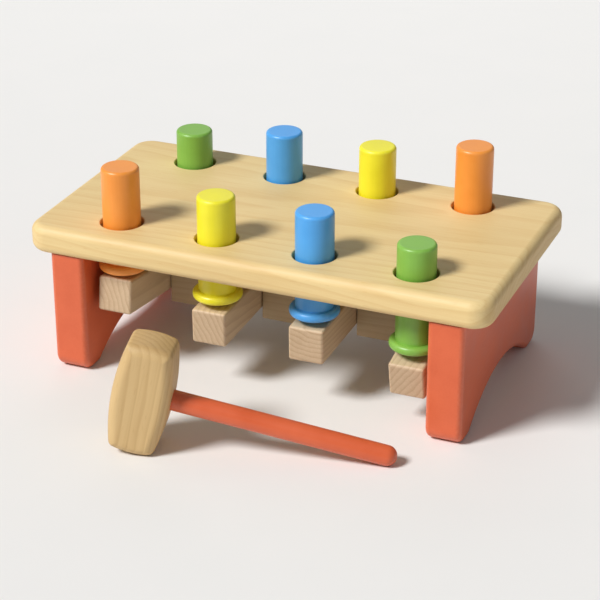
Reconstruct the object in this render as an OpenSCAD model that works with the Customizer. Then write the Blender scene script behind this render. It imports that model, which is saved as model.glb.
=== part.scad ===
// Peg pounding bench: eight turned pegs stand in pairs on four rocker bars under a plank, so that
// knocking one peg of a pair down lifts the other. A loose mallet lies in front of the bench.

/* [Bench top] */
// Length of the plank
top_l = 266; // [240:1:300]
// Width of the plank, front to back
top_w = 144; // [130:1:160]
// Thickness of the plank
top_t = 16; // [12:0.5:20]
// Radius of the plank's corners, seen from above
top_corner_r = 12; // [8:0.5:18]
// Radius of the rolled edges of the plank
top_edge_r = 5; // [2:0.5:5.5]
// Diameter of the peg holes
hole_d = 24; // [22.5:0.5:26]
// Depth of the eased lip of each peg hole
hole_lip = 0.8; // [0.4:0.1:1.5]

/* [Legs] */
// Height of the legs, from the floor to the plank
leg_h = 70; // [66:1:85]
// Setback of the legs behind the plank's long edges
leg_setback = 3; // [0.5:0.5:8]
// Thickness of the leg panels
leg_t = 20; // [16:0.5:22]
// Overhang of the plank beyond the legs at each end
end_overhang = 13.5; // [8:0.5:20]
// Radius of the soft arrises of the legs
leg_edge_r = 3; // [1.5:0.5:4]
// Radius of the corners of the feet
foot_corner_r = 8; // [5:0.5:10]
// Width of the arch between the feet
arch_w = 106; // [90:1:110]
// Rise of the arch between the feet
arch_rise = 17; // [10:1:20]

/* [Pegs] */
// Distance from the inner face of each leg to the nearest column of pegs
column_inset = 14; // [13:0.5:16]
// Distance from each long edge of the plank to its row of pegs
row_inset = 25; // [23:0.5:28]
// Diameter of the pegs
peg_d = 21; // [18:0.5:22]
// Length of a peg from its top to the underside of its collar
peg_l = 60; // [56:0.5:64]
// Radius of the rounded edge at the top of a peg
peg_top_r = 1.8; // [0.5:0.1:3]
// Diameter of the collar
collar_d = 27.5; // [26:0.5:29]
// Thickness of the collar
collar_t = 5; // [4:0.5:6]
// Radius of the rounded rim of the collar
collar_rim_r = 2.2; // [1:0.1:2.4]
// Radius of the domed tip of the foot, which rolls on the rocker
peg_foot_r = 8; // [6:0.5:10]
// Height of a peg above the plank when its rocker lies level
peg_rise = 26.5; // [24:0.5:29]

/* [Rockers] */
// Length of a rocker bar beyond the middle of its pegs
rocker_end = 13; // [8:0.5:15]
// Width of a rocker bar
rocker_w = 20; // [16:0.5:21]
// Thickness of a rocker bar
rocker_t = 20; // [16:0.5:21]
// Radius of the soft arrises of a rocker bar
rocker_edge_r = 1.5; // [0.5:0.1:3]

/* [Pivot] */
// Width of the pivot rail, front to back
rail_w = 22; // [18:1:26]
// Depth of the pivot rail below the middle of the axle
rail_foot = 16; // [12:0.5:18]
// Diameter of the pivot axle
axle_d = 6; // [5:0.5:8]
// Depth of the axle's seat in each leg
axle_seat = 12; // [8:0.5:15]

/* [Dowels] */
// Diameter of the dowels between leg and plank
leg_dowel_d = 8; // [6:0.5:10]
// Distance between neighbouring dowels in a leg
leg_dowel_pitch = 48; // [40:1:55]
// Diameter of the dowels between rail and plank
rail_dowel_d = 6; // [5:0.5:8]
// Depth of each dowel in the plank
dowel_in_top = 10; // [7:0.5:11]
// Depth of each dowel in the leg or rail
dowel_in_base = 15; // [12:0.5:18]

/* [Mallet] */
// Length of the mallet head between its striking ends
head_l = 64; // [58:1:72]
// Width of the head at its middle, along the handle
head_w = 31; // [28:0.5:36]
// Thickness of the head across the handle
head_t = 26; // [22:0.5:30]
// Radius of the bulging sides of the head
head_side_r = 130; // [110:1:180]
// Radius of the crowned striking ends
head_end_r = 40; // [36:1:60]
// Radius of the soft arrises of the head
head_arris = 5; // [2:0.5:7]
// Diameter of the handle
handle_d = 11; // [9:0.5:13]
// Reach of the handle's end from the middle of the head
handle_reach = 135; // [120:1:150]
// Wood left behind the handle's blind seat in the head
handle_wall = 7; // [5:0.5:10]
// Place of the head along the bench, from the bench's middle
mallet_x = -33; // [-45:1:-20]
// Place of the head in front of the bench's middle
mallet_gap = 130; // [120:1:150]
// Turn of the handle towards the bench, in degrees
mallet_turn = 14; // [0:1:18]

/* [Hidden] */
// Fits and small clearances
glue_clear = 0.05;
axle_clear = 0.08;
rocker_side_clear = 0.5;
foot_clear = 0.75;
notch_clear = 3.5;
stop_clear = 0.5;
dowel_end_clear = 0.5;
overrun = 1;
// Spare slope of a peg's foot, in degrees
foot_slope_spare = 0.5;

// Legs and columns of pegs follow the plank's length
leg_span = top_l - 2 * (end_overhang + leg_t);
column_pitch = (leg_span - 2 * column_inset) / 3;

// Travel of the pegs up and down from the level place, and the swing of the rockers that goes with it
top_z = leg_h + top_t;
peg_travel = leg_h - stop_clear - (top_z + peg_rise - peg_l + collar_t);
row_arm = top_w / 2 - row_inset;
swing = atan(peg_travel / row_arm);
tilt_per_mm = swing / peg_travel;

// A peg's foot: a domed tip, then a cone a little steeper than the swing, up to the collar's rim
foot_slope = swing + foot_slope_spare;
foot_tip_x = peg_foot_r * sin(foot_slope);
foot_tip_h = peg_foot_r * (1 - cos(foot_slope));
collar_flat_r = collar_d / 2 - collar_rim_r;
peg_foot_h = foot_tip_h + (collar_flat_r - foot_tip_x) * tan(foot_slope);
axle_z = top_z + peg_rise - peg_l - peg_foot_h - foot_clear - rocker_t / 2;

// Each column's front peg at rest, as a share of its travel above the level place
rest_shares = [0.5, -0.12, -0.08, -0.8];
column_shares = [-1.5, -0.5, 0.5, 1.5];
function column_x(k) = column_shares[k] * column_pitch;
function rest_lift(k) = rest_shares[k] * peg_travel;

// Legs, bars and rail follow the plank's width, the axle's height and the swing of the bars
leg_w = top_w - 2 * leg_setback;
rocker_l = 2 * (row_arm + rocker_end);
rail_h = leg_h - axle_z + rail_foot;
notch_rise = rail_w / 2 * tan(swing) + rocker_t / 2 / cos(swing) + notch_clear;

// The mallet stands on its lower striking end and on the end of its handle
head_half = head_l / 2;
handle_r = handle_d / 2;
handle_tip_x = handle_reach - handle_r;
crown_drop = head_end_r - head_half;
handle_slope = atan2(crown_drop, handle_tip_x);
mallet_tilt = asin((head_end_r - handle_r) / norm([handle_tip_x, crown_drop])) - handle_slope;
mallet_z = head_end_r - crown_drop * cos(mallet_tilt);

// The frame's middle lies halfway between the mallet's front and the plank's rear edge
head_side_reach = head_side_r - (head_side_r - head_w / 2) * cos(mallet_tilt);
arris_angles = [0, 30, 60, 90];
function arris_inset(a) = head_arris * (1 - cos(a));
function arris_t(a) = head_t - 2 * head_arris * (1 - sin(a));
function head_front(a) =
  (head_side_reach - arris_inset(a)) * sin(mallet_turn) + arris_t(a) / 2 * cos(mallet_turn);
mallet_front = mallet_gap + max([for (a = arris_angles) head_front(a)]);
bench_y = (mallet_front - top_w / 2) / 2;

// Arch and dowels
arch_r = (pow(arch_w / 2, 2) + pow(arch_rise, 2)) / (2 * arch_rise);
leg_dowel_shares = [-1, 0, 1];
rail_dowel_shares = [-1, 0, 1];

// Fineness of round shapes
$fn = 96;
hull_fn = 32;
barrel_fn = 180;

wood = "#dcc08c";
orange = "#e0822e";
yellow = "#dccb2a";
blue = "#4a8fd0";
green = "#6ea53c";
red_orange = "#d8603a";
steel = "#b9bcc0";
front_colours = [orange, yellow, blue, green];
rear_colours = [green, blue, yellow, orange];

// A flat rectangle with round corners
module soft_rectangle(w, h, r) {
  square([w - 2 * r, h], center = true);
  square([w, h - 2 * r], center = true);
  for (x = [-1, 1], y = [-1, 1]) translate([x * (w / 2 - r), y * (h / 2 - r)]) circle(r);
}

// A block with soft arrises all round, centred
module soft_block(size, r) {
  intersection() {
    linear_extrude(size.z, center = true) soft_rectangle(size.x, size.y, r);
    rotate([90, 0, 0]) linear_extrude(size.y + 2 * overrun, center = true)
      soft_rectangle(size.x, size.z, r);
    rotate([90, 0, 90]) linear_extrude(size.x + 2 * overrun, center = true)
      soft_rectangle(size.y, size.z, r);
  }
}

// A disc with a rolled rim, standing on its flat face
module rolled_disc(r, t, rim) {
  rotate_extrude($fn = hull_fn) {
    square([r - rim, t]);
    translate([0, rim]) square([r, t - 2 * rim]);
    for (y = [rim, t - rim]) translate([r - rim, y]) circle(rim);
  }
}

// Places of the dowels, on the plank's underside
module at_leg_dowels(side) {
  for (s = leg_dowel_shares)
    translate([side * (leg_span + leg_t) / 2, bench_y + s * leg_dowel_pitch, leg_h]) children();
}

module at_rail_dowels() {
  for (s = rail_dowel_shares) translate([s * column_pitch, bench_y, leg_h]) children();
}

// A dowel across the joint under the plank, or with a clearance the hole for it
module dowel(d, clear, end_clear) {
  translate([0, 0, -dowel_in_base - end_clear])
    cylinder(d = d + 2 * clear, h = dowel_in_base + dowel_in_top + 2 * end_clear);
}

module at_pegs() {
  for (k = [0:3], row = [-1, 1]) translate([column_x(k), bench_y + row * row_arm, 0]) children();
}

module along_x(length) {
  rotate([0, 90, 0]) translate([0, 0, -length / 2]) children();
}

module peg_hole() {
  translate([0, 0, leg_h - overrun]) cylinder(d = hole_d, h = top_t + 2 * overrun);
  translate([0, 0, top_z - hole_lip]) cylinder(d1 = hole_d, d2 = hole_d + 2 * hole_lip, h = hole_lip);
  translate([0, 0, top_z]) cylinder(d = hole_d + 2 * hole_lip, h = overrun);
}

module bench_top() {
  color(wood) difference() {
    hull() {
      for (x = [-1, 1], y = [-1, 1])
        translate([x * (top_l / 2 - top_corner_r), bench_y + y * (top_w / 2 - top_corner_r), leg_h])
          rolled_disc(top_corner_r, top_t, top_edge_r);
    }
    at_pegs() peg_hole();
    for (side = [-1, 1]) at_leg_dowels(side) dowel(leg_dowel_d, glue_clear, dowel_end_clear);
    at_rail_dowels() dowel(rail_dowel_d, glue_clear, dowel_end_clear);
  }
}

// An end panel, with its soft arrises, the arch between its feet and the seats of axle and dowels
module leg(side) {
  difference() {
    translate([side * (leg_span + leg_t) / 2, bench_y, 0]) intersection() {
      linear_extrude(leg_h) soft_rectangle(leg_t, leg_w, leg_edge_r);
      translate([0, 0, leg_h]) rotate([90, 0, 0])
        linear_extrude(leg_w + 2 * overrun, center = true) soft_rectangle(leg_t, 2 * leg_h, leg_edge_r);
      translate([0, 0, leg_h]) rotate([90, 0, 90])
        linear_extrude(leg_t + 2 * overrun, center = true) soft_rectangle(leg_w, 2 * leg_h, foot_corner_r);
    }
    translate([side * (leg_span + leg_t) / 2, bench_y, arch_rise - arch_r])
      along_x(leg_t + 2 * overrun) cylinder(r = arch_r, h = leg_t + 2 * overrun);
    at_leg_dowels(side) dowel(leg_dowel_d, glue_clear, dowel_end_clear);
    axle_rod(glue_clear, dowel_end_clear);
  }
}

module left_leg() {
  color(red_orange) leg(-1);
}

module right_leg() {
  color(red_orange) leg(1);
}

// The axle, or with a clearance the bore for it
module axle_rod(clear, end_clear) {
  rod_l = leg_span + 2 * (axle_seat + end_clear);
  translate([0, bench_y, axle_z]) along_x(rod_l) cylinder(d = axle_d + 2 * clear, h = rod_l);
}

module pivot_axle() {
  color(steel) axle_rod(0, 0);
}

// The rail hangs from the plank and has a notch for each rocker, open at the bottom
module pivot_rail() {
  notch_w = rocker_w + 2 * rocker_side_clear;
  notch_h = rail_foot + notch_rise;
  end_w = leg_span / 2 - column_x(3) + notch_w / 2;
  color(wood) difference() {
    translate([-leg_span / 2, bench_y - rail_w / 2, leg_h - rail_h]) cube([leg_span, rail_w, rail_h]);
    for (k = [1, 2])
      translate([column_x(k) - notch_w / 2, bench_y - rail_w / 2 - overrun, leg_h - rail_h - overrun])
        cube([notch_w, rail_w + 2 * overrun, notch_h + overrun]);
    for (x = [-leg_span / 2 - overrun, leg_span / 2 - end_w])
      translate([x, bench_y - rail_w / 2 - overrun, leg_h - rail_h - overrun])
        cube([end_w + overrun, rail_w + 2 * overrun, notch_h + overrun]);
    axle_rod(glue_clear, dowel_end_clear);
    at_rail_dowels() dowel(rail_dowel_d, glue_clear, dowel_end_clear);
  }
}

module leg_dowels() {
  color(wood) for (side = [-1, 1]) at_leg_dowels(side) dowel(leg_dowel_d, 0, 0);
}

module rail_dowels() {
  color(wood) at_rail_dowels() dowel(rail_dowel_d, 0, 0);
}

// A rocker bar on the axle, tilted to its pegs' rest heights
module rocker(k) {
  color(wood) translate([column_x(k), bench_y, axle_z]) rotate([-rest_lift(k) * tilt_per_mm, 0, 0])
    difference() {
      soft_block([rocker_w, rocker_l, rocker_t], rocker_edge_r);
      along_x(rocker_w + 2 * overrun) cylinder(d = axle_d + 2 * axle_clear, h = rocker_w + 2 * overrun);
    }
}

// A turned peg: shaft with a soft top edge, collar with a round rim, foot; the foot's tip is at zero
module turned_peg() {
  rotate_extrude() {
    intersection() {
      translate([0, peg_foot_r]) circle(peg_foot_r);
      square([foot_tip_x, foot_tip_h]);
    }
    polygon([[0, foot_tip_h], [foot_tip_x, foot_tip_h], [collar_flat_r, peg_foot_h], [0, peg_foot_h]]);
    translate([0, peg_foot_h]) {
      square([collar_flat_r, collar_t]);
      translate([0, collar_rim_r]) square([collar_d / 2, collar_t - 2 * collar_rim_r]);
      for (y = [collar_rim_r, collar_t - collar_rim_r]) translate([collar_flat_r, y]) circle(collar_rim_r);
      square([peg_d / 2, peg_l - peg_top_r]);
      square([peg_d / 2 - peg_top_r, peg_l]);
      translate([peg_d / 2 - peg_top_r, peg_l - peg_top_r]) circle(peg_top_r);
    }
  }
}

module peg(k, row, lift) {
  foot_z = top_z + peg_rise + lift - peg_l - peg_foot_h;
  translate([column_x(k), bench_y + row * row_arm, foot_z]) turned_peg();
}

module peg_front(k) {
  color(front_colours[k]) peg(k, -1, rest_lift(k));
}

module peg_rear(k) {
  color(rear_colours[k]) peg(k, 1, -rest_lift(k));
}

// The barrel outline of the mallet head, drawn in by an inset
module head_outline(inset) {
  intersection_for (s = [-1, 1]) intersection() {
    translate([s * (head_side_r - head_w / 2), 0]) circle(head_side_r - inset, $fn = barrel_fn);
    translate([0, s * (head_end_r - head_half)]) circle(head_end_r - inset, $fn = barrel_fn);
  }
}

module head_slab(inset, t) {
  rotate([90, 0, 0]) linear_extrude(t, center = true) head_outline(inset);
}

// Places a piece of the mallet, drawn with the handle along X and the head upright
module place_mallet() {
  translate([mallet_x, bench_y - mallet_gap, mallet_z]) rotate([0, mallet_tilt, mallet_turn]) children();
}

module handle_rod(clear) {
  seat_x = handle_wall - head_w / 2;
  rotate([0, 90, 0]) translate([0, 0, seat_x - clear])
    cylinder(r = handle_r + clear, h = handle_tip_x - seat_x + clear);
}

module mallet_head() {
  color(wood) place_mallet() difference() {
    hull() {
      for (a = arris_angles) head_slab(arris_inset(a), arris_t(a));
    }
    handle_rod(glue_clear);
  }
}

module mallet_handle() {
  color(red_orange) place_mallet() {
    handle_rod(0);
    translate([handle_tip_x, 0, 0]) sphere(handle_r);
  }
}

bench_top();
left_leg();
right_leg();
pivot_rail();
pivot_axle();
leg_dowels();
rail_dowels();
rocker(0);  // rocker_1
rocker(1);  // rocker_2
rocker(2);  // rocker_3
rocker(3);  // rocker_4
peg_front(0);  // peg_front_1
peg_front(1);  // peg_front_2
peg_front(2);  // peg_front_3
peg_front(3);  // peg_front_4
peg_rear(0);  // peg_rear_1
peg_rear(1);  // peg_rear_2
peg_rear(2);  // peg_rear_3
peg_rear(3);  // peg_rear_4
mallet_head();
mallet_handle();
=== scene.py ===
import math

import bmesh
import bpy
from mathutils import Matrix, Vector


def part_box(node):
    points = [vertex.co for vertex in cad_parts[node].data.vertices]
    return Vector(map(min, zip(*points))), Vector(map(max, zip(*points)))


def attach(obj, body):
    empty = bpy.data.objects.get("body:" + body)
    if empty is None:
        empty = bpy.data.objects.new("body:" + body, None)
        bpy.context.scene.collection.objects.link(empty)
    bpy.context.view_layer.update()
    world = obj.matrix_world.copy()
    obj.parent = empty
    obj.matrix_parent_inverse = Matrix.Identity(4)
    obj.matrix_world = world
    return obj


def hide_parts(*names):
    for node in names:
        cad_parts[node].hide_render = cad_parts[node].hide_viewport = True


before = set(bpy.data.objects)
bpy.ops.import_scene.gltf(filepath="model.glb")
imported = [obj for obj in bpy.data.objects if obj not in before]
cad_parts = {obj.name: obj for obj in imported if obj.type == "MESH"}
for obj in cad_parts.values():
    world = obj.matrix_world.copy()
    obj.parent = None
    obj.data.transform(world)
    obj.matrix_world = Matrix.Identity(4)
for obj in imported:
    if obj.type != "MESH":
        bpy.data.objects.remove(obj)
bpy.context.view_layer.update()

print("frame loaded:", len(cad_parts), "solids")


def mm(size):  # the frame is in metres
    return size / 1000


def linearColour(hexColour):
    channels = []
    for start in (1, 3, 5):
        value = int(hexColour[start:start + 2], 16) / 255
        channels.append(value / 12.92 if value <= 0.04045 else ((value + 0.055) / 1.055) ** 2.4)
    return (*channels, 1.0)


def addNode(tree, kind, settings=None, inputs=None):
    node = tree.nodes.new(kind)
    for name, value in (settings or {}).items():
        setattr(node, name, value)
    for name, value in (inputs or {}).items():
        if isinstance(value, bpy.types.NodeSocket):
            tree.links.new(value, node.inputs[name])
        else:
            node.inputs[name].default_value = value
    return node


def newMaterial(name):
    material = bpy.data.materials.new(name)
    material.use_nodes = True
    material.node_tree.nodes.clear()
    return material, material.node_tree


# Birch, planed and sanded, under a thin satin varnish. Faint growth rings and long fibres run along the
# grain, the ends show the rings as arcs and drink more varnish, so they are darker.
# Real fibres are a tenth of this width, too fine to show here, so they are drawn as streaks of 1 mm.
def birchMaterial(name, wood):
    material, tree = newMaterial(name)
    place = addNode(tree, "ShaderNodeTexCoord")
    log = addNode(tree, "ShaderNodeMapping", {"vector_type": "TEXTURE"}, {
        "Vector": place.outputs["Object"],
        "Location": [mm(v) for v in wood["pith"]],
        "Rotation": [math.radians(v) for v in wood["turn"]]})
    slow = addNode(tree, "ShaderNodeVectorMath", {"operation": "MULTIPLY"}, {
        0: log.outputs["Vector"],
        1: [1 / mm(v) for v in wood["drift"]]})
    wander = addNode(tree, "ShaderNodeTexNoise", {}, {
        "Vector": slow.outputs[0],
        "Scale": 1.0,
        "Detail": 2.0})
    across = addNode(tree, "ShaderNodeVectorMath", {"operation": "MULTIPLY"}, {
        0: log.outputs["Vector"],
        1: (0.0, 1.0, 1.0)})
    radius = addNode(tree, "ShaderNodeVectorMath", {"operation": "LENGTH"}, {0: across.outputs[0]})
    grown = addNode(tree, "ShaderNodeMath", {"operation": "MULTIPLY_ADD"}, {
        0: wander.outputs[0],
        1: mm(wood["wander"]),
        2: radius.outputs["Value"]})
    count = addNode(tree, "ShaderNodeMath", {"operation": "DIVIDE"}, {
        0: grown.outputs[0],
        1: mm(wood["ring"])})
    year = addNode(tree, "ShaderNodeMath", {"operation": "FRACT"}, {0: count.outputs[0]})
    ring = addNode(tree, "ShaderNodeValToRGB", {}, {"Fac": year.outputs[0]})
    early, late = wood["season"]
    stops = ring.color_ramp.elements
    stops.new(early)
    stops.new(late)
    for stop, dark in zip(stops, wood["seasonDark"]):
        stop.color = (dark, dark, dark, 1.0)
    long = addNode(tree, "ShaderNodeVectorMath", {"operation": "MULTIPLY"}, {
        0: log.outputs["Vector"],
        1: [1 / mm(v) for v in wood["fibre"]]})
    fibre = addNode(tree, "ShaderNodeTexNoise", {}, {
        "Vector": long.outputs[0],
        "Scale": 1.0,
        "Detail": 4.0,
        "Roughness": 0.6})
    short = addNode(tree, "ShaderNodeVectorMath", {"operation": "MULTIPLY"}, {
        0: log.outputs["Vector"],
        1: [1 / mm(v) for v in wood["fleck"]]})
    fleck = addNode(tree, "ShaderNodeTexNoise", {}, {
        "Vector": short.outputs[0],
        "Scale": 1.0,
        "Detail": 1.0})
    pore = addNode(tree, "ShaderNodeMapRange", {}, {
        "Value": fleck.outputs[0],
        "From Min": 0.66,
        "From Max": 0.78})
    cloud = addNode(tree, "ShaderNodeTexNoise", {}, {
        "Vector": slow.outputs[0],
        "Scale": 1.7,
        "Detail": 3.0})
    ringTone = addNode(tree, "ShaderNodeMath", {"operation": "MULTIPLY"}, {
        0: ring.outputs["Color"],
        1: wood["ringDepth"]})
    fibreTone = addNode(tree, "ShaderNodeMath", {"operation": "MULTIPLY_ADD"}, {
        0: fibre.outputs[0],
        1: wood["fibreDepth"],
        2: ringTone.outputs[0]})
    poreTone = addNode(tree, "ShaderNodeMath", {"operation": "MULTIPLY_ADD"}, {
        0: pore.outputs[0],
        1: wood["fleckDepth"],
        2: fibreTone.outputs[0]})
    cloudTone = addNode(tree, "ShaderNodeMath", {"operation": "MULTIPLY_ADD"}, {
        0: cloud.outputs[0],
        1: wood["cloudDepth"],
        2: poreTone.outputs[0]})
    facing = addNode(tree, "ShaderNodeVectorMath", {"operation": "DOT_PRODUCT"}, {
        0: place.outputs["Normal"],
        1: wood["along"]})
    square = addNode(tree, "ShaderNodeMath", {"operation": "POWER"}, {0: facing.outputs["Value"], 1: 2.0})
    endGrain = addNode(tree, "ShaderNodeMapRange", {"interpolation_type": "SMOOTHSTEP"}, {
        "Value": square.outputs[0],
        "From Min": 0.25,
        "From Max": 0.9,
        "To Max": wood["endDepth"]})
    tone = addNode(tree, "ShaderNodeMath", {"operation": "ADD", "use_clamp": True}, {
        0: cloudTone.outputs[0],
        1: endGrain.outputs[0]})
    colour = addNode(tree, "ShaderNodeMix", {"data_type": "RGBA"}, {
        0: tone.outputs[0],
        6: linearColour(wood["pale"]),
        7: linearColour(wood["dark"])})
    gloss = addNode(tree, "ShaderNodeMapRange", {}, {
        "Value": fibre.outputs[0],
        "To Min": wood["roughness"][0],
        "To Max": wood["roughness"][1]})
    relief = addNode(tree, "ShaderNodeBump", {}, {
        "Height": fibre.outputs[0],
        "Strength": 0.22,
        "Distance": mm(wood["relief"])})
    surface = addNode(tree, "ShaderNodeBsdfPrincipled", {}, {
        "Base Color": colour.outputs[2],
        "Roughness": gloss.outputs[0],
        "Normal": relief.outputs[0],
        "IOR": 1.48,
        "Coat Weight": 0.03,
        "Coat Roughness": 0.36})
    addNode(tree, "ShaderNodeOutputMaterial", {}, {"Surface": surface.outputs[0]})
    return material


# Water based toy paint, sprayed on sanded wood and left satin. It hides the colour of the wood, but the
# fibres still show as fine ridges, the coat mottles a little, and every arris is paler: thin paint there, and
# a painted highlight.
def toyPaintMaterial(name, paint):
    material, tree = newMaterial(name)
    place = addNode(tree, "ShaderNodeTexCoord")
    panel = addNode(tree, "ShaderNodeMapping", {"vector_type": "TEXTURE"}, {
        "Vector": place.outputs["Object"],
        "Rotation": [math.radians(v) for v in paint["turn"]]})
    long = addNode(tree, "ShaderNodeVectorMath", {"operation": "MULTIPLY"}, {
        0: panel.outputs["Vector"],
        1: [1 / mm(v) for v in paint["fibre"]]})
    fibre = addNode(tree, "ShaderNodeTexNoise", {}, {
        "Vector": long.outputs[0],
        "Scale": 1.0,
        "Detail": 3.0,
        "Roughness": 0.55})
    mottle = addNode(tree, "ShaderNodeTexNoise", {}, {
        "Vector": panel.outputs["Vector"],
        "Scale": 1 / mm(paint["mottle"]),
        "Detail": 3.0})
    grit = addNode(tree, "ShaderNodeTexNoise", {}, {
        "Vector": panel.outputs["Vector"],
        "Scale": 1 / mm(paint["grit"]),
        "Detail": 2.0})
    shade = addNode(tree, "ShaderNodeMath", {"operation": "MULTIPLY_ADD", "use_clamp": True}, {
        0: fibre.outputs[0],
        1: 0.3,
        2: mottle.outputs[0]})
    level = addNode(tree, "ShaderNodeMapRange", {}, {
        "Value": shade.outputs[0],
        "From Min": 0.4,
        "From Max": 0.9})
    coat = addNode(tree, "ShaderNodeMix", {"data_type": "RGBA"}, {
        0: level.outputs[0],
        6: linearColour(paint["deep"]),
        7: linearColour(paint["full"])})
    # every arris is mixed towards the paler colour: thin paint there, and a painted highlight along the edge
    arris = addNode(tree, "ShaderNodeAttribute", {"attribute_name": "arris"})
    edgeSpeckle = addNode(tree, "ShaderNodeMapRange", {}, {
        "Value": grit.outputs[0],
        "From Min": 0.35,
        "From Max": 0.7,
        "To Max": 0.4})
    thinPaintAndHighlight = addNode(tree, "ShaderNodeMath", {"operation": "MULTIPLY", "use_clamp": True}, {
        0: arris.outputs["Fac"],
        1: edgeSpeckle.outputs[0]})
    colour = addNode(tree, "ShaderNodeMix", {"data_type": "RGBA"}, {
        0: thinPaintAndHighlight.outputs[0],
        6: coat.outputs[2],
        7: linearColour(paint["thinPaintAndHighlight"])})
    gloss = addNode(tree, "ShaderNodeMapRange", {}, {
        "Value": mottle.outputs[0],
        "From Min": 0.3,
        "From Max": 0.7,
        "To Min": paint["roughness"][0],
        "To Max": paint["roughness"][1]})
    ridges = addNode(tree, "ShaderNodeMath", {"operation": "MULTIPLY_ADD"}, {
        0: grit.outputs[0],
        1: 0.2,
        2: fibre.outputs[0]})
    relief = addNode(tree, "ShaderNodeBump", {}, {
        "Height": ridges.outputs[0],
        "Strength": 0.12,
        "Distance": mm(paint["relief"])})
    surface = addNode(tree, "ShaderNodeBsdfPrincipled", {}, {
        "Base Color": colour.outputs[2],
        "Roughness": gloss.outputs[0],
        "Normal": relief.outputs[0],
        "IOR": 1.5,
        "Coat Weight": 0.15,
        "Coat Roughness": 0.28})
    addNode(tree, "ShaderNodeOutputMaterial", {}, {"Surface": surface.outputs[0]})
    return material


# Bright drawn steel rod: fine scratches run along it, so its shine is stretched across them.
def drawnSteelMaterial(name, steel):
    material, tree = newMaterial(name)
    place = addNode(tree, "ShaderNodeTexCoord")
    drawn = addNode(tree, "ShaderNodeVectorMath", {"operation": "MULTIPLY"}, {
        0: place.outputs["Object"],
        1: [1 / mm(v) for v in steel["scratch"]]})
    scratch = addNode(tree, "ShaderNodeTexNoise", {}, {
        "Vector": drawn.outputs[0],
        "Scale": 1.0,
        "Detail": 3.0})
    colour = addNode(tree, "ShaderNodeMix", {"data_type": "RGBA"}, {
        0: scratch.outputs[0],
        6: linearColour(steel["dull"]),
        7: linearColour(steel["bright"])})
    gloss = addNode(tree, "ShaderNodeMapRange", {}, {
        "Value": scratch.outputs[0],
        "To Min": steel["roughness"][0],
        "To Max": steel["roughness"][1]})
    surface = addNode(tree, "ShaderNodeBsdfPrincipled", {}, {
        "Base Color": colour.outputs[2],
        "Roughness": gloss.outputs[0],
        "Metallic": 1.0})
    addNode(tree, "ShaderNodeOutputMaterial", {}, {"Surface": surface.outputs[0]})
    return material


mallet = {
    "headLength": 64.0,
    "headWidth": 31.0,
    "headThick": 26.0,
    "sideRadius": 130.0,
    "endRadius": 40.0,
    "arris": 5.7,
    "cornerRadius": 3.5,
    "arrisSteps": 8,
    "handleRadius": 5.5,
    "handleReach": 135.0,
    "handleWall": 7.0,
    "handleChamfer": 0.6,
    "handleSupports": (40.0, 90.0),  # rings along the handle that keep its shading level
    "handleSegments": 64,
    "x": -33.0,
    "gap": 130.0,
    "turn": 14.0,
}

plankLow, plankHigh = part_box("bench_top")
benchY = (plankLow[1] + plankHigh[1]) / 2

# The mallet stands on its lower striking end and on the tip of its handle
tipX = mallet["handleReach"] - mallet["handleRadius"]
crownDrop = mallet["endRadius"] - mallet["headLength"] / 2
lean = math.asin((mallet["endRadius"] - mallet["handleRadius"]) / math.hypot(tipX, crownDrop))
malletTilt = lean - math.atan2(crownDrop, tipX)
malletZ = mallet["endRadius"] - crownDrop * math.cos(malletTilt)
malletPlace = (Matrix.Translation((mm(mallet["x"]), benchY - mm(mallet["gap"]), mm(malletZ)))
               @ Matrix.Rotation(math.radians(mallet["turn"]), 4, "Z")
               @ Matrix.Rotation(malletTilt, 4, "Y"))

headGrain = malletPlace @ Matrix.Rotation(math.radians(-90), 4, "Y")  # the grain climbs the head

birch = {
    "pale": "#f0d9a0",
    "dark": "#cda05c",
    "ring": 4.2,
    "season": (0.45, 0.86),
    "seasonDark": (0.12, 0.3, 1.0, 0.12),
    "wander": 9.0,
    "drift": (110.0, 24.0, 24.0),
    "fibre": (45.0, 1.0, 1.0),
    "fleck": (7.0, 0.8, 0.8),
    "ringDepth": 0.2,
    "fibreDepth": 0.32,
    "fleckDepth": 0.16,
    "cloudDepth": 0.22,
    "endDepth": 0.24,
    "roughness": (0.46, 0.62),
    "relief": 0.3,
}
plankBirch = birchMaterial("birch_plank_satin_varnish", {
    **birch, "pith": (0, 60, -30), "turn": (0, 1.6, 1.2), "along": (1.0, 0.0, 0.0)})
# The rail's birch is darker than the rest of the birch: painted shade, for the shadow under the plank
railBirchPaintedShade = birchMaterial("birch_rail_planed_painted_shade", {
    **birch, "pale": "#b7a17c", "dark": "#8b6f4a", "pith": (0, 20, -40), "turn": (0, -1.5, 1.0),
    "along": (1.0, 0.0, 0.0), "endDepth": 0.3})
barBirch = birchMaterial("birch_bar_planed", {
    **birch, "pale": "#e4ceac", "dark": "#ac8b69", "pith": (30, 0, 70), "turn": (0, 2.0, 91.5),
    "along": (0.0, 1.0, 0.0), "ring": 3.0, "ringDepth": 0.3, "endDepth": 0.2})
headBirch = birchMaterial("birch_mallet_head_sanded", {
    **birch, "pale": "#dfc08a", "dark": "#b08850", "pith": (-60, -150, 0),
    "turn": [math.degrees(v) for v in headGrain.to_euler()],
    "along": tuple(malletPlace.to_3x3() @ Vector((0, 0, 1))), "ring": 3.4, "ringDepth": 0.26})
dowelBirch = birchMaterial("birch_dowel_turned", {
    **birch, "pith": (0, 0, 0), "turn": (0, 90, 0), "along": (0.0, 0.0, 1.0), "ring": 2.0})
coat = {"fibre": (30.0, 1.1, 1.1), "mottle": 16.0, "grit": 1.6, "roughness": (0.36, 0.48), "relief": 0.2}
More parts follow.
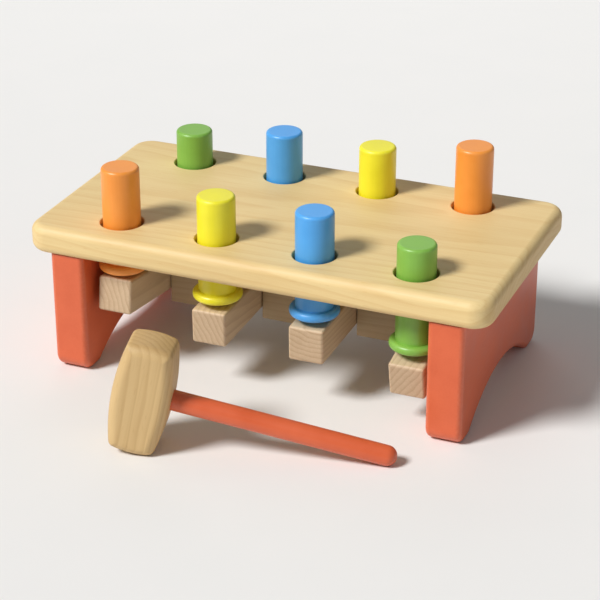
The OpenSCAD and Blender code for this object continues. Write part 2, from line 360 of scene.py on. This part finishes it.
# thin: the paler arris colour, for thin paint and a painted highlight
redOrange = {**coat, "full": "#dd673d", "deep": "#d35d33", "thinPaintAndHighlight": "#e88a66"}
legPaint = toyPaintMaterial("red_orange_toy_paint", {**redOrange, "turn": (0, 0, 90)})
handlePaint = toyPaintMaterial("red_orange_toy_paint_handle", {
    **redOrange, "turn": (0, math.degrees(malletTilt), mallet["turn"])})
upright = {**coat, "turn": (0, 90, 0)}
pegPaints = {
    "orange": toyPaintMaterial("orange_toy_paint", {
        **upright, "full": "#f89d40", "deep": "#f09234", "thinPaintAndHighlight": "#f4b27a"}),
    "yellow": toyPaintMaterial("yellow_toy_paint", {
        **upright, "full": "#f6ed2c", "deep": "#ece220", "thinPaintAndHighlight": "#f2ea84"}),
    "blue": toyPaintMaterial("blue_toy_paint", {
        **upright, "full": "#53aaef", "deep": "#489fe5", "thinPaintAndHighlight": "#8cc2ee"}),
    "green": toyPaintMaterial("green_toy_paint", {
        **upright, "full": "#85ba4b", "deep": "#7ab041", "thinPaintAndHighlight": "#a4d080"}),
}
axleSteel = drawnSteelMaterial("drawn_steel", {
    "scratch": (20.0, 0.6, 0.6), "dull": "#8e9196", "bright": "#c6c8cc", "roughness": (0.24, 0.44)})
print("materials made:", len(bpy.data.materials))


near = 0.01  # millimetres within which two heights count as one
outlineWeld = 0.002
latheWeld = 0.0004
latheClimb = 0.001  # each point of a profile lies at least this far above the last
sharpCorner = 0.02


def newObject(name, mesh):
    obj = bpy.data.objects.new(name, mesh)
    bpy.context.scene.collection.objects.link(obj)
    return obj


def settle(obj):  # turns what the modifiers make into a plain mesh
    graph = bpy.context.evaluated_depsgraph_get()
    mesh = bpy.data.meshes.new_from_object(obj.evaluated_get(graph))
    obj.modifiers.clear()
    obj.data = mesh
    return obj


def softShade(obj, angle=35):
    for polygon in obj.data.polygons:
        polygon.use_smooth = True
    obj.data.set_sharp_from_angle(angle=math.radians(angle))
    level = obj.modifiers.new("level", "WEIGHTED_NORMAL")
    level.keep_sharp = True
    level.weight = 100
    return settle(obj)


def markArris(obj, start=7, span=18, square=60):  # where the surface turns, in degrees, paint is thin and a highlight is painted
    mesh = obj.data
    solid = bmesh.new()
    solid.from_mesh(mesh)
    turns = []
    for vert in solid.verts:
        normals = [face.normal for face in vert.link_faces]
        angles = [math.degrees(a.angle(b, 0.0)) for a in normals for b in normals]
        # square edges are hidden joints or inner corners, where the paint isn't thin and no highlight is
        # painted
        sharpest = max((angle for angle in angles if angle < square), default=0.0)
        turns.append(min(1.0, max(0.0, (sharpest - start) / span)))
    solid.free()
    attribute = mesh.attributes.new("arris", "FLOAT", "POINT")
    attribute.data.foreach_set("value", turns)


def arcPoints(centreU, centreV, radius, start, end, steps):
    points = []
    for step in range(steps + 1):
        angle = math.radians(start + (end - start) * step / steps)
        points.append((centreU + radius * math.cos(angle), centreV + radius * math.sin(angle)))
    return points


def outlineSolid(name, outline, depth, softEdge, arris, steps):
    # an outline in millimetres, drawn in Y and Z and thickened along X, its arrises round where softEdge says
    mesh = bpy.data.meshes.new(name)
    solid = bmesh.new()
    verts = [solid.verts.new((-mm(depth) / 2, mm(u), mm(v))) for u, v in outline]
    face = solid.faces.new(verts)
    grown = bmesh.ops.extrude_face_region(solid, geom=[face])
    moved = [part for part in grown["geom"] if isinstance(part, bmesh.types.BMVert)]
    bmesh.ops.translate(solid, vec=(mm(depth), 0, 0), verts=moved)
    bmesh.ops.recalc_face_normals(solid, faces=solid.faces)
    edges = [edge for edge in solid.edges if softEdge(*(vert.co * 1000 for vert in edge.verts))]
    bmesh.ops.bevel(solid, geom=edges, offset=mm(arris), segments=steps, profile=0.5, affect="EDGES",
                    clamp_overlap=True)
    bmesh.ops.remove_doubles(solid, verts=solid.verts, dist=mm(outlineWeld))
    bmesh.ops.recalc_face_normals(solid, faces=solid.faces)
    solid.to_mesh(mesh)
    solid.free()
    return newObject(name, mesh)


def rolledLevels(thick, roll, steps):  # (inset, height) pairs up the side of a slab with rolled edges
    levels = []
    for step in range(steps + 1):
        angle = math.radians(90 * step / steps)
        levels.append((roll * (1 - math.sin(angle)), roll * (1 - math.cos(angle))))
    return levels + [(inset, thick - height) for inset, height in reversed(levels)]


def ringSolid(name, rings):  # a closed skin over rings of equal count
    solid = bmesh.new()
    loops = [[solid.verts.new(point) for point in ring] for ring in rings]
    solid.faces.new(list(reversed(loops[0])))
    solid.faces.new(loops[-1])
    for lower, upper in zip(loops, loops[1:]):
        for i in range(len(lower)):
            j = (i + 1) % len(lower)
            solid.faces.new((lower[i], lower[j], upper[j], upper[i]))
    bmesh.ops.recalc_face_normals(solid, faces=solid.faces)
    mesh = bpy.data.meshes.new(name)
    solid.to_mesh(mesh)
    solid.free()
    return newObject(name, mesh)


# A lathe: the profile's points climb the axis, and each carries its share of the piece's radius and length
def latheTree():
    tree = bpy.data.node_groups.new("turned_piece", "GeometryNodeTree")
    for label, kind in (("Profile", "Geometry"), ("Radius", "Float"), ("Length", "Float"),
                        ("Segments", "Int"), ("Finish", "Material")):
        tree.interface.new_socket(name=label, in_out="INPUT", socket_type="NodeSocket" + kind)
    tree.interface.new_socket(name="Turned", in_out="OUTPUT", socket_type="NodeSocketGeometry")
    given = addNode(tree, "NodeGroupInput")
    size = addNode(tree, "ShaderNodeCombineXYZ", {}, {"X": 1.0, "Y": 1.0, "Z": given.outputs["Length"]})
    where = addNode(tree, "GeometryNodeInputPosition")
    stretched = addNode(tree, "ShaderNodeVectorMath", {"operation": "MULTIPLY"}, {
        0: where.outputs[0],
        1: size.outputs[0]})
    long = addNode(tree, "GeometryNodeSetPosition", {}, {
        "Geometry": given.outputs["Profile"],
        "Position": stretched.outputs[0]})
    axis = addNode(tree, "GeometryNodeMeshToCurve", {}, {"Mesh": long.outputs[0]})
    share = addNode(tree, "GeometryNodeInputNamedAttribute", {"data_type": "FLOAT"}, {"Name": "radiusShare"})
    girth = addNode(tree, "ShaderNodeMath", {"operation": "MULTIPLY"}, {
        0: share.outputs[0],
        1: given.outputs["Radius"]})
    sized = addNode(tree, "GeometryNodeSetCurveRadius", {}, {
        "Curve": axis.outputs[0],
        "Radius": girth.outputs[0]})
    ring = addNode(tree, "GeometryNodeCurvePrimitiveCircle", {}, {
        "Resolution": given.outputs["Segments"],
        "Radius": 1.0})
    reach = addNode(tree, "GeometryNodeInputRadius")
    turned = addNode(tree, "GeometryNodeCurveToMesh", {}, {
        "Curve": sized.outputs[0],
        "Profile Curve": ring.outputs[0],
        "Scale": reach.outputs[0]})
    closed = addNode(tree, "GeometryNodeMergeByDistance", {}, {
        "Geometry": turned.outputs[0],
        "Distance": mm(latheWeld)})
    real = addNode(tree, "GeometryNodeRealizeInstances", {}, {"Geometry": closed.outputs[0]})
    finished = addNode(tree, "GeometryNodeSetMaterial", {}, {
        "Geometry": real.outputs[0],
        "Material": given.outputs["Finish"]})
    addNode(tree, "NodeGroupOutput", {}, {"Turned": finished.outputs[0]})
    return tree


lathe = latheTree()


def setInputs(modifier, values):
    for socket in modifier.node_group.interface.items_tree:
        if socket.item_type == "SOCKET" and socket.in_out == "INPUT" and socket.name in values:
            modifier[socket.identifier] = values[socket.name]


def turnedObject(name, profile, segments, finish):
    # profile: (radius, height) pairs in millimetres, from the foot up
    climbed = []
    for radius, height in profile:
        if climbed:
            height = max(height, climbed[-1][1] + latheClimb)
        climbed.append((radius, height))
    widest = max(radius for radius, height in climbed)
    tallest = climbed[-1][1]
    trueTall = profile[-1][1]
    mesh = bpy.data.meshes.new(name)
    mesh.from_pydata([(0, 0, height / tallest) for radius, height in climbed],
                     [(i, i + 1) for i in range(len(climbed) - 1)], [])
    shares = mesh.attributes.new("radiusShare", "FLOAT", "POINT")
    shares.data.foreach_set("value", [radius / widest for radius, height in climbed])
    obj = newObject(name, mesh)
    turning = obj.modifiers.new("lathe", "NODES")
    turning.node_group = lathe
    setInputs(turning, {
        "Radius": mm(widest),
        "Length": mm(trueTall),
        "Segments": segments,
        "Finish": finish})
    settle(obj)
    solid = bmesh.new()
    solid.from_mesh(obj.data)
    bmesh.ops.recalc_face_normals(solid, faces=solid.faces)
    solid.to_mesh(obj.data)
    solid.free()
    return obj


def place(obj, matrix):  # the place goes into the mesh, so that the object stays at the origin
    obj.data.transform(matrix)
    obj.data.update()
    return obj


def addPiece(obj, material, body, slot, *nodes):
    obj.data.materials.clear()
    obj.data.materials.append(material)
    for polygon in obj.data.polygons:
        polygon.material_index = 0
    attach(obj, body)
    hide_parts(*nodes)
    return obj


# The plank: a board with rolled edges, drilled by a tree that sets out the holes in two rows
plank = {
    "cornerRadius": 12.0,
    "edgeRadius": 5.0,
    "holeDiameter": 24.0,
    "holeLip": 0.8,
    "columnPitch": 57.0,
    "rowPitch": 94.0,
    "rollSteps": 8,
    "cornerSteps": 14,
    "lipSteps": 5,
    "drillOverrun": 2.0,
    "drillSegments": 96,
}


def softRectangle(halfX, halfY, radius, steps):
    points = []
    for signX, signY, start in ((1, 1, 0), (-1, 1, 90), (-1, -1, 180), (1, -1, 270)):
        points += arcPoints(
            signX * (halfX - radius), signY * (halfY - radius), radius, start, start + 90, steps)
    return points


def rolledBoard(name, low, high):
    halfX = (high[0] - low[0]) * 500
    halfY = (high[1] - low[1]) * 500
    tall = (high[2] - low[2]) * 1000
    rings = []
    for inset, height in rolledLevels(tall, plank["edgeRadius"], plank["rollSteps"]):
        outline = softRectangle(
            halfX - inset, halfY - inset, plank["cornerRadius"] - inset, plank["cornerSteps"])
        rings.append([(mm(x), benchY + mm(y), low[2] + mm(height)) for x, y in outline])
    return ringSolid(name, rings)


def drillTree():
    tree = bpy.data.node_groups.new("drilled_plank", "GeometryNodeTree")
    for label, kind in (("Board", "Geometry"), ("Drill", "Object"), ("Column Pitch", "Float"),
                        ("Row Pitch", "Float"), ("Middle", "Vector"), ("Finish", "Material")):
        tree.interface.new_socket(name=label, in_out="INPUT", socket_type="NodeSocket" + kind)
    tree.interface.new_socket(name="Plank", in_out="OUTPUT", socket_type="NodeSocketGeometry")
    given = addNode(tree, "NodeGroupInput")
    length = addNode(tree, "ShaderNodeMath", {"operation": "MULTIPLY"}, {
        0: given.outputs["Column Pitch"],
        1: 3.0})  # four columns, three steps apart
    rows = addNode(tree, "GeometryNodeMeshGrid", {}, {
        "Size X": length.outputs[0],
        "Size Y": given.outputs["Row Pitch"],
        "Vertices X": 4,
        "Vertices Y": 2})
    centred = addNode(tree, "GeometryNodeTransform", {}, {
        "Geometry": rows.outputs["Mesh"],
        "Translation": given.outputs["Middle"]})
    drill = addNode(tree, "GeometryNodeObjectInfo", {}, {"Object": given.outputs["Drill"]})
    drills = addNode(tree, "GeometryNodeInstanceOnPoints", {}, {
        "Points": centred.outputs[0],
        "Instance": drill.outputs["Geometry"]})
    cutters = addNode(tree, "GeometryNodeRealizeInstances", {}, {"Geometry": drills.outputs[0]})
    drilled = addNode(tree, "GeometryNodeMeshBoolean", {"operation": "DIFFERENCE", "solver": "EXACT"}, {
        "Mesh 1": given.outputs["Board"],
        "Mesh 2": cutters.outputs[0]})
    real = addNode(tree, "GeometryNodeRealizeInstances", {}, {"Geometry": drilled.outputs[0]})
    finished = addNode(tree, "GeometryNodeSetMaterial", {}, {
        "Geometry": real.outputs[0],
        "Material": given.outputs["Finish"]})
    addNode(tree, "NodeGroupOutput", {}, {"Plank": finished.outputs[0]})
    return tree


thick = (plankHigh[2] - plankLow[2]) * 1000
holeRadius = plank["holeDiameter"] / 2
lip = plank["holeLip"]
over = plank["drillOverrun"]
wide = holeRadius + lip
drillProfile = [(0, 0), (wide, 0), (wide, over)]
drillProfile += arcPoints(wide, over + lip, lip, 270, 180, plank["lipSteps"])
drillProfile += arcPoints(wide, over + thick - lip, lip, 180, 90, plank["lipSteps"])
drillProfile += [(wide, thick + 2 * over), (0, thick + 2 * over)]
drillBit = turnedObject("drill_bit", drillProfile, plank["drillSegments"], plankBirch)
board = rolledBoard("plank", plankLow, plankHigh)
drilling = board.modifiers.new("holes", "NODES")
drilling.node_group = drillTree()
setInputs(drilling, {
    "Drill": drillBit,
    "Column Pitch": mm(plank["columnPitch"]),
    "Row Pitch": mm(plank["rowPitch"]),
    "Middle": (0.0, benchY, plankLow[2] - mm(over)),
    "Finish": plankBirch})
settle(board)
bpy.data.objects.remove(drillBit)
softShade(board, 40)
addPiece(board, plankBirch, "bench", "plank_wood", "bench_top")
print("plank drilled:", len(board.data.polygons), "faces")

# The legs: end panels with a shallow arch between the feet, and soft arrises all round below the plank
leg = {
    "footRadius": 8.0,
    "footSteps": 10,
    "archWidth": 106.0,
    "archRise": 17.0,
    "archSteps": 40,
    "arris": 3.0,
    "arrisSteps": 6,
}
archRadius = ((leg["archWidth"] / 2) ** 2 + leg["archRise"] ** 2) / (2 * leg["archRise"])
archAngle = math.degrees(math.asin(leg["archWidth"] / 2 / archRadius))
for side, sideName in ((-1, "left"), (1, "right")):
    low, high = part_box(sideName + "_leg")
    halfWidth = (high[1] - low[1]) * 500
    tall = (high[2] - low[2]) * 1000
    foot = leg["footRadius"]
    outline = arcPoints(-halfWidth + foot, foot, foot, 180, 270, leg["footSteps"])
    outline += arcPoints(0, leg["archRise"] - archRadius, archRadius, 90 + archAngle, 90 - archAngle,
                         leg["archSteps"])
    outline += arcPoints(halfWidth - foot, foot, foot, 270, 360, leg["footSteps"])
    outline += [(halfWidth, tall), (-halfWidth, tall)]
    panel = outlineSolid(
        sideName + "_end_panel", outline, (high[0] - low[0]) * 1000,
        lambda a, b: abs(a.x - b.x) < near and min(a.z, b.z) < tall - near, leg["arris"], leg["arrisSteps"])
    place(panel, Matrix.Translation(((low[0] + high[0]) / 2, benchY, low[2])))
    softShade(panel, 32)
    markArris(panel)
    addPiece(panel, legPaint, "bench", "red_paint", sideName + "_leg")
print("legs made")

# The axle's place, and one long drill that bores the rail and the bars for it
axle = {"chamfer": 0.5, "segments": 48, "clear": 0.08}
axleLow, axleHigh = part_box("pivot_axle")
axleZ = (axleLow[2] + axleHigh[2]) / 2
axleRadius = (axleHigh[2] - axleLow[2]) * 500
axleLength = (axleHigh[0] - axleLow[0]) * 1000
axleLine = Matrix.Translation((axleLow[0], benchY, axleZ)) @ Matrix.Rotation(math.radians(90), 4, "Y")
boreRadius = axleRadius + axle["clear"]
boreProfile = [(0, 0), (boreRadius, 0), (boreRadius, axleLength), (0, axleLength)]
axleDrill = place(turnedObject("axle_drill", boreProfile, axle["segments"], axleSteel), axleLine)


def boreForAxle(obj):
    bore = obj.modifiers.new("bore", "BOOLEAN")
    bore.operation = "DIFFERENCE"
    bore.solver = "EXACT"
    bore.object = axleDrill
    return settle(obj)


# The rail under the plank, notched for the bars, in birch darkened with painted shade
rail = {
    "notchWidth": 21.0,
    "notchRise": 16.63,  # from the axle's middle to the top of a notch
    "arris": 0.8,
    "arrisSteps": 3,
}
low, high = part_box("pivot_rail")
tall = (high[2] - low[2]) * 1000
halfLength = (high[0] - low[0]) * 500
foot = (axleZ - low[2]) * 1000 + rail["notchRise"]
inner = 1.5 * plank["columnPitch"] - rail["notchWidth"] / 2
edges = [-inner]
for share in (-0.5, 0.5):
    for half in (-0.5, 0.5):
        edges.append(share * plank["columnPitch"] + half * rail["notchWidth"])
edges.append(inner)
outline = [(halfLength, tall), (-halfLength, tall), (-halfLength, foot)]
for start, end in zip(edges[0::2], edges[1::2]):
    outline += [(start, foot), (start, 0.0), (end, 0.0), (end, foot)]
outline.append((halfLength, foot))
beam = outlineSolid("notched_rail", outline, (high[1] - low[1]) * 1000,
                    lambda a, b: min(a.z, b.z) < tall - near, rail["arris"], rail["arrisSteps"])
place(beam, Matrix.Translation((0, benchY, low[2])) @ Matrix.Rotation(math.radians(-90), 4, "Z"))
boreForAxle(beam)
softShade(beam, 32)
addPiece(beam, railBirchPaintedShade, "bench", "rail_wood", "pivot_rail")

cut = axle["chamfer"]
axleProfile = [(0, 0), (axleRadius - cut, 0), (axleRadius, cut)]
axleProfile += [(axleRadius, axleLength - cut), (axleRadius - cut, axleLength), (0, axleLength)]
rod = place(turnedObject("pivot_rod", axleProfile, axle["segments"], axleSteel), axleLine)
softShade(rod, 35)
addPiece(rod, axleSteel, "bench", "axle_steel", "pivot_axle")
for node in ("leg_dowels", "rail_dowels"):
    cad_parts[node].data.materials.clear()
    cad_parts[node].data.materials.append(dowelBirch)
print("rail and axle made")

# Knocking a peg down by the travel tilts its bar, whose arm reaches from the axle to the peg's middle
seeSaw = {"travel": 12.0, "arm": 47.0}
swing = math.atan(seeSaw["travel"] / seeSaw["arm"])

# The pegs: turned shafts with a collar that stays under the plank and a domed foot on the bar
peg = {
    "radius": 10.5,
    "topRadius": 1.8,
    "collarRadius": 13.75,
    "collarHeight": 5.0,
    "rimRadius": 2.2,
    "tipRadius": 8.0,
    "footSlope": math.degrees(swing) + 0.5,  # a little over the bars' tilt
    "supports": (3.0, 12.0),  # rings over the collar and under the top, for level shading
    "segments": 96,
    "roundSteps": 7,
    "tipSteps": 4,
    "colours": {
        "front": ("orange", "yellow", "blue", "green"),
        "rear": ("green", "blue", "yellow", "orange"),
    },
}


def pegProfile(tall):
    rimCentre = peg["collarRadius"] - peg["rimRadius"]
    profile = arcPoints(0, peg["tipRadius"], peg["tipRadius"], -90, peg["footSlope"] - 90, peg["tipSteps"])
    profile[0] = (0.0, 0.0)
    tipR, tipZ = profile[-1]
    footHeight = tipZ + (rimCentre - tipR) * math.tan(math.radians(peg["footSlope"]))
    collarTop = footHeight + peg["collarHeight"]
    rim = peg["rimRadius"]
    profile += arcPoints(rimCentre, footHeight + rim, rim, -90, 0, peg["roundSteps"])
    profile += arcPoints(rimCentre, collarTop - rim, rim, 0, 90, peg["roundSteps"])
    low, high = peg["supports"]
    profile += [(peg["radius"], collarTop), (peg["radius"], collarTop + low), (peg["radius"], tall - high)]
    soft = peg["topRadius"]
    profile += arcPoints(peg["radius"] - soft, tall - soft, soft, 0, 90, peg["roundSteps"])
    profile.append((0.0, tall))
    return profile


for row in ("front", "rear"):
    for k in range(1, 5):
        node = "peg_" + row + "_" + str(k)
        low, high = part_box(node)
        colour = peg["colours"][row][k - 1]
        shaft = turnedObject(row + "_peg_turned_" + str(k), pegProfile((high[2] - low[2]) * 1000),
                             peg["segments"], pegPaints[colour])
        place(shaft, Matrix.Translation(((low[0] + high[0]) / 2, (low[1] + high[1]) / 2, low[2])))
        softShade(shaft, 35)
        markArris(shaft)
        addPiece(shaft, pegPaints[colour], row + "_peg_" + str(k), colour + "_paint", node)
print("pegs turned")

# The bars that see-saw on the axle, tilted at rest as their pegs stand
bar = {"length": 120.0, "width": 20.0, "thick": 20.0, "arris": 1.5, "arrisSteps": 5}
for k in range(1, 5):
    low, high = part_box("rocker_" + str(k))
    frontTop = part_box("peg_front_" + str(k))[1][2]
    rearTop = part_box("peg_rear_" + str(k))[1][2]
    tilt = -(frontTop - rearTop) * 500 * swing / seeSaw["travel"]
    halfLength = bar["length"] / 2
    halfThick = bar["thick"] / 2
    outline = [(-halfLength, -halfThick), (halfLength, -halfThick)]
    outline += [(halfLength, halfThick), (-halfLength, halfThick)]
    rocker = outlineSolid("see_saw_bar_" + str(k), outline, bar["width"], lambda a, b: True, bar["arris"],
                          bar["arrisSteps"])
    middle = Matrix.Translation(((low[0] + high[0]) / 2, benchY, axleZ))
    place(rocker, middle @ Matrix.Rotation(tilt, 4, "X"))
    boreForAxle(rocker)
    softShade(rocker, 32)
    addPiece(rocker, barBirch, "rocker_" + str(k), "rocker_wood", "rocker_" + str(k))
bpy.data.objects.remove(axleDrill)
print("bars made")

# The mallet: a barrel shaped head with crowned ends, and a round handle
def barrelOutline(inset):
    side = mallet["sideRadius"] - inset
    end = mallet["endRadius"] - inset
    sideMiddle = mallet["sideRadius"] - mallet["headWidth"] / 2
    endMiddle = mallet["endRadius"] - mallet["headLength"] / 2
    corner = max(mallet["cornerRadius"] - inset, sharpCorner)
    # the corner's own middle lies where the two arcs, drawn in by its radius, meet
    apart = math.hypot(sideMiddle, endMiddle)
    along = ((side - corner) ** 2 - (end - corner) ** 2 + apart ** 2) / (2 * apart)
    off = math.sqrt((side - corner) ** 2 - along ** 2)
    u = (along * sideMiddle + off * endMiddle) / apart - sideMiddle
    v = (off * sideMiddle - along * endMiddle) / apart
    sideSweep = math.degrees(math.atan2(v, u + sideMiddle))
    endSweep = math.degrees(math.atan2(u, v + endMiddle))
    points = arcPoints(-sideMiddle, 0, side, -sideSweep, sideSweep, 20)[:-1]
    points += arcPoints(u, v, corner, sideSweep, 90 - endSweep, 6)[:-1]
    points += arcPoints(0, -endMiddle, end, 90 - endSweep, 90 + endSweep, 14)[:-1]
    points += arcPoints(-u, v, corner, 90 + endSweep, 180 - sideSweep, 6)[:-1]
    return points + [(-u, -v) for u, v in points]


headRings = []
for inset, height in rolledLevels(mallet["headThick"], mallet["arris"], mallet["arrisSteps"]):
    across = height - mallet["headThick"] / 2
    headRings.append([(mm(u), mm(across), mm(v)) for u, v in barrelOutline(inset)])
head = ringSolid("barrel_head", headRings)
place(head, malletPlace)
softShade(head, 32)
addPiece(head, headBirch, "mallet", "mallet_wood", "mallet_head")

seat = mallet["handleWall"] - mallet["headWidth"] / 2
handleRadius = mallet["handleRadius"]
cut = mallet["handleChamfer"]
handleProfile = [(0, 0), (handleRadius - cut, 0), (handleRadius, cut)]
handleProfile += [(handleRadius, height) for height in mallet["handleSupports"]]
handleProfile += arcPoints(0, mallet["handleReach"] - handleRadius - seat, handleRadius, 0, 90, 12)
handle = turnedObject("round_handle", handleProfile, mallet["handleSegments"], handlePaint)
sideways = Matrix.Rotation(math.radians(90), 4, "Y")
place(handle, malletPlace @ Matrix.Translation((mm(seat), 0, 0)) @ sideways)
softShade(handle, 35)
markArris(handle)
addPiece(handle, handlePaint, "mallet", "red_paint", "mallet_handle")
print("mallet made")

# Pale floor, soft light from the front left, and the camera at the photograph's angle
studio = {
    "azimuth": 22.5,
    "elevation": 26.0,
    "distance": 1.09,
    "lens": 120.0,
    "target": (0.014, 0.0045, 0.05),
    "floor": ("#ecebe8", "#efedea"),
    "floorHalf": 60.0,
    "floorMottle": 60.0,
    "sky": "#f4f6fa",
    "skyStrength": 0.2,
    "lights": {  # kind, place in metres, width in degrees or metres, and strength
        "key_light": ("SUN", (-1.5, -1.9, 2.5), 16.5, 3.33),
        "fill_light": ("AREA", (1.3, -0.8, 0.9), 1.2, 1.0),
        "back_light": ("AREA", (-0.6, 1.4, 1.2), 1.2, 4.0),
    },
}


def floorMaterial():
    material, tree = newMaterial("matt_paper_floor")
    place = addNode(tree, "ShaderNodeTexCoord")
    tooth = addNode(tree, "ShaderNodeTexNoise", {}, {
        "Vector": place.outputs["Object"],
        "Scale": 1 / mm(studio["floorMottle"])})
    colour = addNode(tree, "ShaderNodeMix", {"data_type": "RGBA"}, {
        0: tooth.outputs[0],
        6: linearColour(studio["floor"][0]),
        7: linearColour(studio["floor"][1])})
    surface = addNode(tree, "ShaderNodeBsdfPrincipled", {}, {
        "Base Color": colour.outputs[2],
        "Roughness": 0.85})
    addNode(tree, "ShaderNodeOutputMaterial", {}, {"Surface": surface.outputs[0]})
    return material


floorMesh = bpy.data.meshes.new("floor")
half = studio["floorHalf"]
corners = [(-half, -half, 0), (half, -half, 0), (half, half, 0), (-half, half, 0)]
floorMesh.from_pydata(corners, [], [(0, 1, 2, 3)])
floor = newObject("floor", floorMesh)
floor.data.materials.append(floorMaterial())

bpy.context.scene.view_settings.view_transform = "Standard"  # so that a paint shows in its own colour
world = bpy.data.worlds.new("studio_sky")
world.use_nodes = True
world.node_tree.nodes["Background"].inputs["Color"].default_value = linearColour(studio["sky"])
world.node_tree.nodes["Background"].inputs["Strength"].default_value = studio["skyStrength"]
bpy.context.scene.world = world

target = Vector(studio["target"])
for lampName, (kind, spot, size, power) in studio["lights"].items():
    lampData = bpy.data.lights.new(lampName, kind)
    if kind == "SUN":  # far off, so that the floor is as pale all over
        lampData.angle = math.radians(size)
    else:
        lampData.size = size
    lampData.energy = power
    lamp = newObject(lampName, lampData)
    lamp.location = spot
    lamp.rotation_euler = (target - Vector(spot)).to_track_quat("-Z", "Y").to_euler()

azimuth = math.radians(studio["azimuth"])
elevation = math.radians(studio["elevation"])
level = math.cos(elevation)
back = Vector((math.sin(azimuth) * level, -math.cos(azimuth) * level, math.sin(elevation)))
cameraData = bpy.data.cameras.new("camera")
cameraData.lens = studio["lens"]
camera = newObject("camera", cameraData)
camera.location = target + back * studio["distance"]
camera.rotation_euler = (-back).to_track_quat("-Z", "Y").to_euler()
bpy.context.scene.camera = camera
print("studio set")
